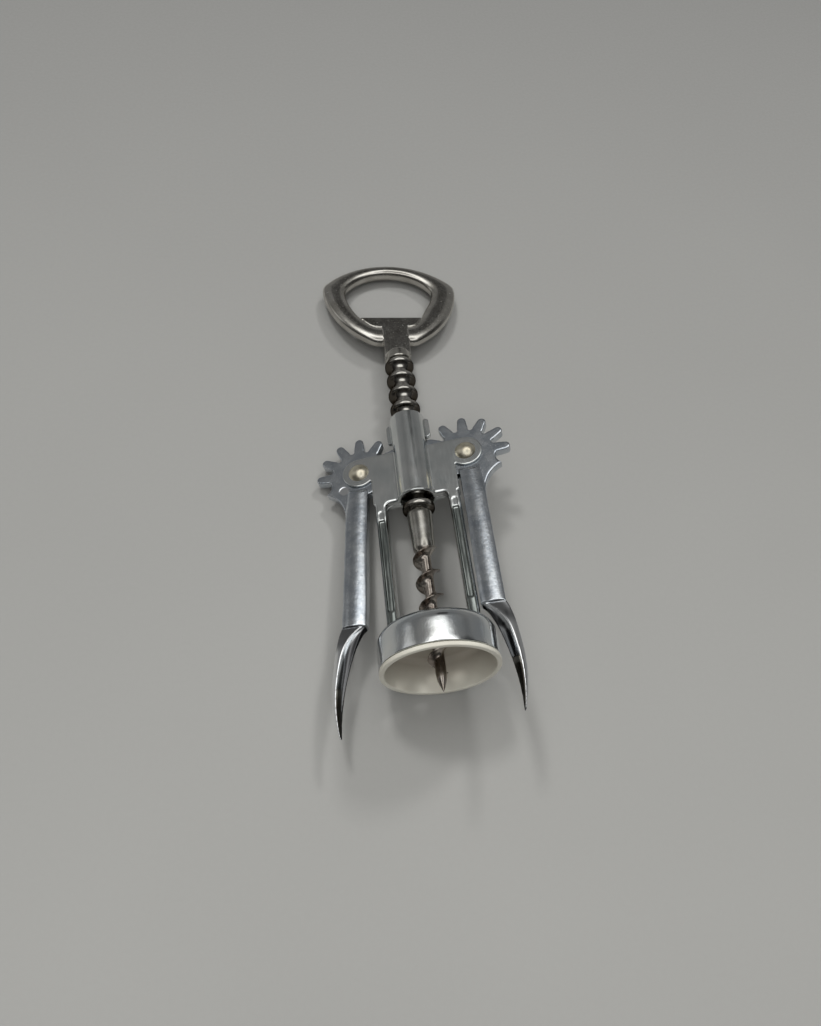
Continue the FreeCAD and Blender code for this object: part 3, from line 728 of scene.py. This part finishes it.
# Worm: the core, shank and spindle are turned, and the flight follows a spiral round the core
def make_worm():
    profile = [(radius, WORM_TIP + rise) for radius, rise in WORM_POINT]
    profile += [(WORM_CORE, POINT_TOP)]
    profile += [(radius, SHANK_END + rise) for radius, rise in SHANK_FOOT]
    profile += [(radius, SHANK_TOP + rise) for radius, rise in SHANK_HEAD]
    profile += [(SPINDLE_RADIUS, SHANK_TOP), (SPINDLE_RADIUS, SPINDLE_TOP), (0.0, SPINDLE_TOP)]
    worm = lathe("worm_turned", profile)
    section = section_piece("flight_half", FLIGHT_HALF)
    tree = Tree("worm_flight", {
        "Pitch": WORM_PITCH,
        "Length": SHANK_END + FLIGHT_RUN_OUT - POINT_TOP,
        "Path Radius": WORM_CORE - FLIGHT_SINK,
        "Start": POINT_TOP,
        "Steps per Turn": TURNED_FACETS,
        "Lead In Turns": 0.8,
        "Start Share": 0.28,
    })
    turns = tree.add("ShaderNodeMath", {0: tree.size("Length"), 1: tree.size("Pitch")},
                     operation="DIVIDE").outputs[0]
    spiral = tree.add("GeometryNodeCurveSpiral", {
        "Resolution": tree.size("Steps per Turn"), "Rotations": turns, "Height": tree.size("Length"),
        "Start Radius": tree.size("Path Radius"), "End Radius": tree.size("Path Radius"),
        "Reverse": True}).outputs[0]
    start = tree.add("ShaderNodeCombineXYZ", {"Z": tree.size("Start")}).outputs[0]
    path = tree.add("GeometryNodeTransform", {0: spiral, "Translation": start}).outputs[0]
    along = tree.add("GeometryNodeSplineParameter").outputs["Factor"]
    turned = tree.add("ShaderNodeMath", {0: along, 1: turns}, operation="MULTIPLY").outputs[0]
    lead_in = tree.spread(turned, 0.0, tree.size("Lead In Turns"),
                          tree.size("Start Share"), 1.0, "SMOOTHSTEP")
    flight = tree.sweep(path, section, {"Scale": lead_in, "Fill Caps": True})
    tree.finish(flight, WORM)
    tree.run(worm)
    bpy.data.objects.remove(section)
    shade(worm, 38)
    paint(worm, "brown", brown_tone)
    settle(worm, FLAT)
    hand_over(worm, "screw", "worm", WORM)


def brown_tone(place):
    """The worm is browner below its shank."""
    return 1 - ease(place.y, SHANK_END - 2.0, SHANK_END + 1.0)


# Joined pieces become one skin with the soft edges of castings
def skin(pieces, voxel):
    """Join closed meshes into one, then round its edges a little."""
    with bpy.context.temp_override(active_object=pieces[0], selected_editable_objects=pieces):
        bpy.ops.object.join()
    piece = pieces[0]
    remesh = piece.modifiers.new("skin", "REMESH")
    remesh.mode = "VOXEL"
    remesh.voxel_size = voxel
    soften(piece, SKIN_PASSES)


def soften(piece, passes, chosen=None):
    """Round the edges, all over or where a test of a vertex's place says so."""
    smooth = piece.modifiers.new("soften", "SMOOTH")
    smooth.factor = 0.5
    smooth.iterations = passes
    if chosen:
        group = piece.vertex_groups.new(name="softer")
        group.add([vertex.index for vertex in piece.data.vertices if chosen(vertex.co)], 1.0, "REPLACE")
        smooth.vertex_group = group.name
    apply_modifiers(piece)
    piece.vertex_groups.clear()
    piece.data.shade_smooth()


def circle_through(first, second, third):
    """Centre and radius of the circle through three points."""
    ax, ay = first
    bx, by = second
    cx, cy = third
    twice = 2 * (ax * (by - cy) + bx * (cy - ay) + cx * (ay - by))
    a2, b2, c2 = ax * ax + ay * ay, bx * bx + by * by, cx * cx + cy * cy
    x = (a2 * (by - cy) + b2 * (cy - ay) + c2 * (ay - by)) / twice
    y = (a2 * (cx - bx) + b2 * (ax - cx) + c2 * (bx - ax)) / twice
    return x, y, math.hypot(ax - x, ay - y)


# Levers: the toothed sector and arm, and a claw with a ridge that crosses it from the inner edge
def make_levers():
    for side, sign in (("right", 1), ("left", -1)):
        mirror = Matrix.Diagonal((sign, 1, 1, 1))
        swing = Matrix.Rotation(math.radians(SWINGS[side]), 4, "Z")
        axes = BODY @ Matrix.Translation((sign * PIVOT[0], PIVOT[1], 0)) @ mirror @ swing
        lever = node_copy("lever_" + side, "lever_cast_" + side)
        lever.data.transform(axes.inverted())
        cut_off_claw(lever)
        skin([lever, make_claw()], LEVER_VOXEL)
        widen_arm(lever)
        swell_teeth(lever)
        soften(lever, 40, under_ear)
        soften(lever, 10, on_teeth)
        soften(lever, 9, on_claw)
        if side == "left":
            press_mark(lever)
            paint(lever, "polish", marked_polish_tone)
        else:
            paint(lever, "polish", polish_tone)
        # Painted dark reflection on the claw's inner slopes and the facet under the arm.
        paint(lever, "painted_shade", claw_painted_dark_reflection)
        settle(lever, axes)
        hand_over(lever, "lever_" + side, "lever_" + side, CASTING)


def cut_off_claw(lever):
    """Leave the CAD lever's sector and arm, closed at the arm's end."""
    work = bmesh.new()
    work.from_mesh(lever.data)
    bmesh.ops.bisect_plane(work, geom=work.verts[:] + work.edges[:] + work.faces[:], dist=1e-5,
                           plane_co=(0, ARM_END, 0), plane_no=(0, -1, 0), clear_outer=True)
    bmesh.ops.holes_fill(work, edges=[edge for edge in work.edges if edge.is_boundary], sides=0)
    bmesh.ops.recalc_face_normals(work, faces=work.faces)
    work.to_mesh(lever.data)
    work.free()


def make_claw():
    """Sections across the claw, each two slopes up to the ridge on the front and the same behind."""
    vertices = []
    stations = 44
    slope = 9
    top = ARM_END + CLAW_LAP
    for step in range(stations + 1):
        share = step / stations
        fade = 1 - share
        y = top + (CLAW_TIP - top) * share
        inner = edge_at(CLAW_INNER, y)
        outer = edge_at(CLAW_OUTER, y)
        ridge = claw_ridge(share)
        swell = math.sqrt(fade) * (1 - 0.45 * fade ** 4)
        ridge_height = CLAW_RIDGE_HEIGHT[0] + CLAW_RIDGE_HEIGHT[1] * swell
        inner_height = CLAW_INNER_HEIGHT[0] + CLAW_INNER_HEIGHT[1] * fade ** 6
        outer_height = CLAW_OUTER_HEIGHT[0] + CLAW_OUTER_HEIGHT[1] * fade
        front = []
        for i in range(slope + 1):
            t = i / slope
            rise = (ridge_height - inner_height) * t ** CLAW_HOLLOW["inner"]
            front.append((ridge * t, inner_height + rise))
        for i in range(1, slope + 1):
            t = i / slope
            fall = (outer_height - ridge_height) * t ** CLAW_HOLLOW["outer"]
            front.append((ridge + (1 - ridge) * t, ridge_height + fall))
        around = front + [(across, -height) for across, height in reversed(front)]
        vertices += [(inner + (outer - inner) * across, y, height) for across, height in around]
    claw = new_piece("claw", vertices, tube_faces(stations + 1, 4 * slope + 2))
    tidy_mesh(claw)
    return claw


def edge_at(points, y):
    """How far out an edge of the claw stands at y."""
    x, centre_y, radius = circle_through(*points)
    return x + math.sqrt(radius ** 2 - (y - centre_y) ** 2)


def claw_ridge(share):
    """How far across the claw its ridge runs, by the share of the way down to the tip."""
    return 0.62 - 0.58 * (1 - share) ** 8


def widen_arm(lever):
    """The arm's rounded sides stand a little proud of the sector's edge and the claw's step."""
    for vertex in lever.data.vertices:
        place = vertex.co
        outward = ARM_OUTWARD * ease(-place.y, 8, 18) * (1 - ease(-place.y, 54, 68))
        inward = ARM_INWARD * ease(-place.y, 16, 50) * (1 - ease(-place.y, 53.5, 56))
        share = min(1.0, max(0.0, (place.x + 1) / 6))
        place.x += outward * share - inward * (1 - share)
    lever.data.update()


def swell_teeth(lever):
    """The plating thickens the teeth."""
    normals = [vertex.normal.copy() for vertex in lever.data.vertices]
    for vertex, normal in zip(lever.data.vertices, normals):
        place = vertex.co
        if place.y > SECTOR_END:
            amount = TOOTH_SWELL * ease(math.hypot(place.x, place.y), 9.0, 10.5)
            place += Vector((normal.x, normal.y, 0.0)) * amount
    lever.data.update()


def under_ear(place):
    """The step below the ear where the sector becomes the arm."""
    return -12.5 < place.y < -3.5 and -2.3 < place.x < 3.6


def on_teeth(place):
    return place.length > TOOTH_FOOT and place.y > SECTOR_END


def on_claw(place):
    return -82.0 < place.y < ARM_END - 2.5


def from_mark(place):
    """The distance from the middle of the left lever's press mark."""
    return math.hypot(place.x - PRESS_MARK[0], place.y - PRESS_MARK[1])


def press_mark(lever):
    """The round mark that an ejector pin leaves on the left lever's face."""
    for vertex in lever.data.vertices:
        place = vertex.co
        radius = from_mark(place)
        if radius < 2.0 and abs(place.z - LEVER_FACE) < 0.4:
            place.z -= PRESS_DEPTH * min(1.0, max(0.0, (1.75 - radius) / 0.25))
    lever.data.update()


def polish_tone(place):
    """The claw is polished up to the arm's end."""
    return 1 - ease(place.y, ARM_END - 1.0, ARM_END + 0.2)


def marked_polish_tone(place):
    """The press mark is as bright as the claw."""
    return max(polish_tone(place), 1 - ease(from_mark(place), 1.4, 1.7))


def claw_painted_dark_reflection(place):
    """Painted dark reflection on the claw's inner slopes and on the facet under the arm."""
    if not CLAW_TIP <= place.y <= ARM_END - 0.2:
        return 0.0
    inner = edge_at(CLAW_INNER, place.y)
    outer = edge_at(CLAW_OUTER, place.y)
    share = (place.y - ARM_END) / (CLAW_TIP - ARM_END)
    past_ridge = (place.x - inner) / (outer - inner) - claw_ridge(share)
    slope = 1 - ease(past_ridge, -0.16, -0.06)
    facet = 0.7 * (1 - ease(share, 0.14, 0.26)) * ease(past_ridge, 0.06, 0.16)
    return 0.9 * max(slope, facet)


# Handle: a crowned bar bent to a pointed eye, with a flat neck and a straight lifting edge
def loop_line(corners):
    """The right-hand half of an outline: over the top to the tip, then down the side to the base."""
    tip, top, side, base = corners
    line = []
    for first, second, third, mirrored in ((top, None, tip, True), (tip, side, base, False)):
        through = (-tip[0], tip[1]) if mirrored else second
        x, y, radius = circle_through(first, through, third)
        start = math.atan2(first[1] - y, first[0] - x)
        sweep = math.atan2(third[1] - y, third[0] - x) - start
        sweep -= 2 * math.pi * round(sweep / (2 * math.pi))
        for i in range(60):
            angle = start + sweep * i / 60
            line.append((x + radius * math.cos(angle), y + radius * math.sin(angle)))
    line += [(base[0] * (1 - i / 10), base[1]) for i in range(11)]
    return line


def reach_by_angle(corners, steps, softness):
    """The outline's distance from the loop's centre at even angles from the top, corners rounded."""
    polar = []
    for x, y in loop_line(corners):
        away = (x - LOOP_CENTRE[0], y - LOOP_CENTRE[1])
        polar.append((math.atan2(away[0], away[1]), math.hypot(*away)))
    reach = []
    for step in range(steps):
        angle = abs(2 * math.pi * step / steps - (2 * math.pi if step > steps / 2 else 0))
        after = next((i for i, (turn, _) in enumerate(polar) if turn >= angle), len(polar) - 1)
        before = max(after - 1, 0)
        (a0, r0), (a1, r1) = polar[before], polar[after]
        share = 0.0 if a1 == a0 else (angle - a0) / (a1 - a0)
        reach.append(r0 + (r1 - r0) * min(1.0, max(0.0, share)))
    for _ in range(softness):
        reach = [(reach[i - 1] + 2 * reach[i] + reach[(i + 1) % steps]) / 4 for i in range(steps)]
    return reach


def narrowing(step, steps):
    """How much narrower the eye is than its outline, mostly low on the right."""
    depth = EYE_NARROWING["right" if step < steps / 2 else "left"]
    angle = 360 * min(step, steps - step) / steps
    return depth * math.exp(-(((angle - NARROWING_ANGLE) / NARROWING_SPREAD) ** 2))


def rounded(value, power):
    """A sine or cosine made squarer, so that the bar's section is fuller than an ellipse."""
    return math.copysign(abs(value) ** power, value)


def make_handle():
    steps = 240
    around = 32
    centre_y = LOOP_CENTRE[1]
    outer = reach_by_angle(LOOP_OUTER, steps, 8)
    inner = reach_by_angle(LOOP_INNER, steps, 12)
    inner = [reach - narrowing(step, steps) for step, reach in enumerate(inner)]
    vertices = []
    web = []
    for step in range(steps):
        angle = 2 * math.pi * step / steps
        x, y = math.sin(angle), math.cos(angle)
        middle = (outer[step] + inner[step]) / 2
        half = (outer[step] - inner[step]) / 2
        for i in range(around):
            turn = 2 * math.pi * i / around
            radius = middle + half * rounded(math.cos(turn), BAR_SIDE_ROUND)
            vertices.append((radius * x, centre_y + radius * y,
                             BAR_HALF * rounded(math.sin(turn), BAR_FACE_ROUND)))
        edge = inner[step] + 0.5
        if centre_y + edge * y < LIFTING_EDGE:
            web.append((edge * x, centre_y + edge * y))
    ring = new_piece("handle_cast", vertices, tube_faces(steps, around, closed=True))
    web = [(web[0][0], LIFTING_EDGE)] + web + [(web[-1][0], LIFTING_EDGE)]
    flat = plate_piece("handle_web", web, FLAT_HALF)
    neck = plate_piece("handle_neck", [(-NECK_HALF, STUB_TOP - 1), (NECK_HALF, STUB_TOP - 1),
                                       (NECK_HALF, NECK_TOP), (-NECK_HALF, NECK_TOP)], FLAT_HALF)
    stub = lathe("handle_stub", [
        (0.0, NECK_LOW), (STUB_RADIUS - STUB_EDGE, NECK_LOW), (STUB_RADIUS, NECK_LOW + STUB_EDGE),
        (STUB_RADIUS, STUB_TOP), (FLAT_HALF, STUB_TOP + STUB_TAPER), (0.0, STUB_TOP + STUB_TAPER)], 64)
    pieces = [ring, flat, neck, stub]
    for piece in pieces:
        tidy_mesh(piece)
    skin(pieces, SKIN_VOXEL)
    flatten_neck(ring)
    settle(ring, FLAT)
    hand_over(ring, "screw", "handle_loop", HANDLE)


def plate_piece(name, outline, half):
    """A flat plate with the given outline."""
    points = [(x, y, z) for z in (-half, half) for x, y in outline]
    return new_piece(name, points, tube_faces(2, len(outline)))


def flatten_neck(handle):
    """The neck runs flat through the bar."""
    for vertex in handle.data.vertices:
        place = vertex.co
        if abs(place.x) < NECK_HALF and STUB_TOP + 1.7 < place.y < LIFTING_EDGE:
            place.z = max(-FLAT_HALF, min(FLAT_HALF, place.z))
    handle.data.update()


# Shells: the CAD pressings with the soft edges of plated sheet, a barrel lip and crowned legs
def make_shells():
    for side, facing in (("front", 1), ("back", -1)):
        shell = node_copy(side + "_shell", side + "_shell_pressed")
        shell.data.transform(BODY.inverted())
        plugs = [groove_plug(x, facing) for x in (-TAB_X, TAB_X)]
        skin([shell, barrel_lip(facing), *plugs], SKIN_VOXEL)
        crown_legs(shell)
        # Painted dark reflection down the middle of each leg.
        paint(shell, "painted_shade", leg_painted_dark_reflection)
        settle(shell, BODY)
        hand_over(shell, "frame", side + "_shell", PRESSED)


def barrel_lip(facing):
    """Half of the rolled lip round the barrel's lower mouth."""
    vertices = []
    steps = 48
    around = 12
    for step in range(steps + 1):
        angle = facing * math.radians(1 + 178 * step / steps)
        for i in range(around):
            turn = 2 * math.pi * i / around
            radius = BARREL_RADIUS + LIP_HALF * (0.2 + math.cos(turn))
            vertices.append((radius * math.cos(angle), BARREL_LOW + LIP_HALF * (1 + math.sin(turn)),
                             radius * math.sin(angle)))
    lip = new_piece("barrel_lip", vertices, tube_faces(steps + 1, around))
    tidy_mesh(lip)
    return lip


def groove_plug(x, facing):
    """Metal that closes the end of a leg's groove below the ear."""
    near, far = sorted(facing * depth for depth in GROOVE_PLUG_DEPTHS)
    return box_piece("groove_plug", (x - GROOVE_PLUG_HALF, LEG_TOP + GROOVE_PLUG_ENDS[0], near),
                     (x + GROOVE_PLUG_HALF, LEG_TOP + GROOVE_PLUG_ENDS[1], far))


def crown_legs(shell):
    """The legs' faces fall away towards their sides."""
    for vertex in shell.data.vertices:
        place = vertex.co
        across = (abs(place.x) - TAB_X) / LEG_HALF
        if abs(across) < 1.1 and place.y < LEG_TOP:
            fall = LEG_CROWN * across ** 2 * (1 - ease(place.y, LEG_TOP - 3, LEG_TOP))
            place.z -= math.copysign(fall * min(1.0, abs(place.z) / 1.5), place.z)
    shell.data.update()


def leg_painted_dark_reflection(place):
    """Painted dark reflection on the legs' faces between their edges."""
    across = abs(abs(place.x) - TAB_X) / LEG_HALF
    return 0.9 * (1 - ease(across, 0.6, 0.9)) * (1 - ease(place.y, LEG_TOP - 2.5, LEG_TOP - 0.5))


make_bell()
make_liner()
make_rivet(1, "rivet_right_domed", "rivet_right")
make_rivet(-1, "rivet_left_domed", "rivet_left")
make_rack()
make_worm()
make_levers()
make_handle()
make_shells()


# Table of pale paper, with a painted falloff of light that makes it darker with distance
def make_table():
    reach = 1.6
    corners = [(-reach, -reach, 0), (reach, -reach, 0), (reach, reach, 0), (-reach, reach, 0)]
    table = new_piece("table_top", corners, [(0, 1, 2, 3)])
    finish = Finish("table_paper", 0.0)
    fibre = finish.noise(700.0, 3.0)
    near_side = finish.cloudy(finish.noise(7.0, 2.0), (0.352, 0.349, 0.334), (0.370, 0.367, 0.351))
    away = finish.add("ShaderNodeSeparateXYZ", {0: finish.coordinates}).outputs["Y"]
    # Painted falloff of light: the paper darkens towards the far side.
    finish.colour(finish.blend_colours(finish.spread(away, -0.14, 0.36, 0.0, 1.0),
                                       near_side, (0.215, 0.214, 0.207)))
    finish.roughness(finish.spread(fibre, 0.3, 0.7, 0.55, 0.7))
    finish.relief([(fibre, 0.1, 0.05)])
    table.data.materials.append(finish.material)


# Light
def soft_light(name, place, width, length, watts):
    """A soft panel that faces the corkscrew. Polished metal mirrors only the room."""
    lamp = bpy.data.lights.new(name, "AREA")
    lamp.shape = "RECTANGLE"
    lamp.size = width
    lamp.size_y = length
    lamp.energy = watts
    holder = bpy.data.objects.new(name, lamp)
    holder.location = place
    holder.rotation_euler = (-Vector(place)).to_track_quat("-Z", "Y").to_euler()
    holder.visible_glossy = False
    bpy.context.scene.collection.objects.link(holder)


def make_light():
    soft_light("key_left", (-0.29, 0.58, 1.02), 0.18, 0.16, 4.4)
    soft_light("key_right", (0.47, 0.78, 0.90), 0.18, 0.16, 4.4)
    soft_light("front_fill", (-0.15, -0.80, 0.90), 0.6, 0.5, 3.0)
    Room()


class Room(NodeWork):
    """The light from all round: a bright band high up, and dim overhead, behind and at eye height."""

    # Share of the way from straight down to straight up, and how bright it is there
    FAR = [(0.0, 0.34), (0.50, 0.30), (0.53, 0.20), (0.68, 0.19), (0.78, 0.15), (0.83, 0.19),
           (0.865, 0.20), (0.885, 0.28), (0.905, 0.6), (0.92, 1.2), (0.94, 2.1), (0.965, 1.9), (0.985, 0.6),
           (1.0, 0.3)]
    NEAR = [(0.0, 0.34), (0.47, 0.20), (0.50, 0.06), (0.60, 0.05), (0.85, 0.08), (0.90, 0.35),
            (0.94, 1.5), (0.965, 1.5), (0.985, 0.5), (1.0, 0.3)]
    BRIGHTEST = 2.5

    # Round patches where the light is scaled: direction, inner and outer angle in degrees, and scale
    PATCHES = [((0.13, 0.80, 0.59), 7, 12, 0.22), ((0.75, 0.06, 0.66), 12, 26, 0.25),
               ((-0.86, 0.28, 0.42), 7, 17, 3.2)]

    def __init__(self):
        world = bpy.data.worlds.new("room")
        bpy.context.scene.world = world
        world.use_nodes = True
        super().__init__(world.node_tree)
        self.direction = self.add("ShaderNodeTexCoord").outputs["Generated"]
        parts = self.add("ShaderNodeSeparateXYZ", {0: self.direction}).outputs
        self.height = self.spread(parts["Z"], -1.0, 1.0, 0.0, 1.0)
        far_side = self.spread(parts["Y"], -0.25, 0.35, 0.0, 1.0, "SMOOTHSTEP")
        colour = self.blend_colours(far_side, self.by_height(self.NEAR), self.by_height(self.FAR))
        for towards, inner, outer, scale in self.PATCHES:
            colour = self.patch(colour, towards, inner, outer, scale)
        sky = self.add("ShaderNodeBackground", {"Color": colour, "Strength": self.BRIGHTEST}).outputs[0]
        self.add("ShaderNodeOutputWorld", {"Surface": sky})

    def by_height(self, stops):
        """The light's colour from straight down to straight up."""
        ramp = self.add("ShaderNodeValToRGB", {"Fac": self.height})
        while len(ramp.color_ramp.elements) < len(stops):
            ramp.color_ramp.elements.new(0.5)
        for element, (height, value) in zip(ramp.color_ramp.elements, stops):
            share = value / self.BRIGHTEST
            element.position = height
            element.color = (share, share, share * 0.985, 1.0)
        return ramp.outputs["Color"]

    def patch(self, colour, towards, inner, outer, scale):
        """Scale the light within a few degrees of a direction."""
        near = self.add("ShaderNodeVectorMath", {0: self.direction, 1: Vector(towards).normalized()},
                        operation="DOT_PRODUCT").outputs["Value"]
        fade = self.spread(near, math.cos(math.radians(outer)), math.cos(math.radians(inner)),
                           1.0, scale, "SMOOTHSTEP")
        scaled = self.add("ShaderNodeVectorMath", {0: colour, "Scale": fade}, operation="SCALE")
        return scaled.outputs["Vector"]


# Camera at the photograph's viewing angle
FOCAL_PIXELS = 770.9
IMAGE_HEIGHT = 1026
CAMERA_PLACE = (-35.21, -140.36, 219.03)
CAMERA_RIGHT = (0.9901, -0.0981, 0.1009)
CAMERA_UP = (0.0357, 0.8688, 0.4939)


def make_camera():
    lens = bpy.data.cameras.new("view")
    lens.sensor_width = 36.0
    lens.sensor_fit = "AUTO"
    lens.lens = lens.sensor_width * FOCAL_PIXELS / IMAGE_HEIGHT
    lens.clip_start = 0.01
    right = Vector(CAMERA_RIGHT)
    up = Vector(CAMERA_UP)
    turn = Matrix((right, up, right.cross(up))).transposed().to_4x4()
    camera = bpy.data.objects.new("view", lens)
    camera.matrix_world = Matrix.Translation(Vector(CAMERA_PLACE) * MM) @ turn
    bpy.context.scene.collection.objects.link(camera)
    bpy.context.scene.camera = camera


make_table()
make_light()
make_camera()
bpy.context.scene.view_settings.view_transform = "Standard"
